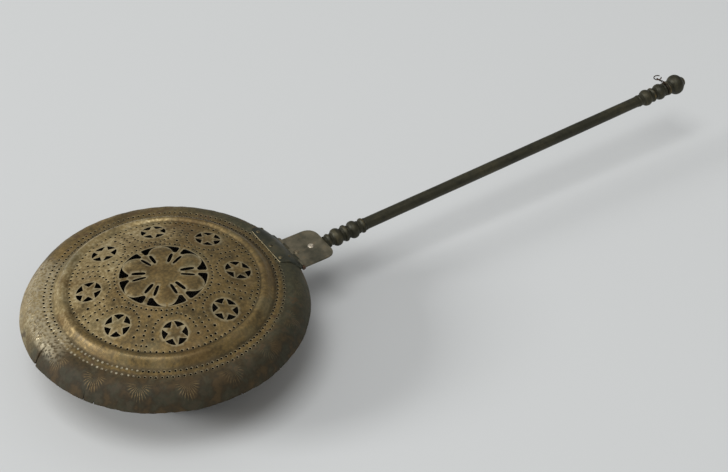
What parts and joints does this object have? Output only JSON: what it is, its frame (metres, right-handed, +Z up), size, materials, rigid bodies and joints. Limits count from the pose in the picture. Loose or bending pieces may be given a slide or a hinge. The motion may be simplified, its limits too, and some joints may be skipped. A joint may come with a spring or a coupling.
{
  "type": "bed warming pan",
  "caption": "Brass bed warming pan: a round bowl for embers under a pierced domed lid that is hinged at the handle side, with a long turned handle and a wire hanging loop.",
  "frame": {"origin": "centre of the bowl's flat base, on the surface it stands on", "axes": "+Z up, +X from the bowl along the handle, +Y to the left when looking along +X"},
  "size_m": [0.8746, 0.3106, 0.1159],
  "materials": {
    "bowl": "dull, tarnished sheet brass",
    "lid": "olive-brown patina with bright worn ridges and rubbed brim",
    "plate": "grey-brown, dull and stained",
    "rivet": "dull, darker round the head",
    "handle": "dark green-brown patina with rubbed golden rings",
    "shaft": "dark green-brown patina, slightly glossy",
    "wire": "dark bent wire",
    "iron": "dark, lightly rusted wrought iron"
  },
  "bodies": {
    "pan": {"pan_bowl": "bowl", "rim_wire": "iron", "bowl_bracket": "iron", "bracket_rivets": "iron", "tongue_plate": "plate", "root_rivet": "rivet", "main_rivet": "rivet", "handle_tang": "iron", "handle_collar": "handle", "lower_knop": "handle", "lower_ferrule": "handle", "shaft_tube": "shaft", "upper_ferrule": "handle", "upper_knop": "handle", "vase_knop": "handle", "grip_knob": "handle", "end_button": "handle", "hinge_pin": "iron"},
    "lid": {"lid": "lid", "lid_leaf": "plate", "leaf_rivets": "rivet"},
    "hanger": {"hanger_collar": "wire"},
    "loop": {"hanging_loop": "wire"}
  },
  "joints": [
    {"name": "lid_hinge", "type": "hinge", "parent": "pan", "child": "lid", "pos_m": [0.1558, 0, 0.06789], "axis": [0, 1, 0], "range_deg": [0, 110]},
    {"name": "hanger_swivel", "type": "hinge", "parent": "pan", "child": "hanger", "pos_m": [0.69115, 0, 0.0794], "axis": [0.9995, 0, 0.0332], "continuous": true},
    {"name": "loop_swing", "type": "hinge", "parent": "hanger", "child": "loop", "pos_m": [0.6759, 0, 0.10074], "axis": [0, 1, 0], "range_deg": [-90, 15]}
  ]
}
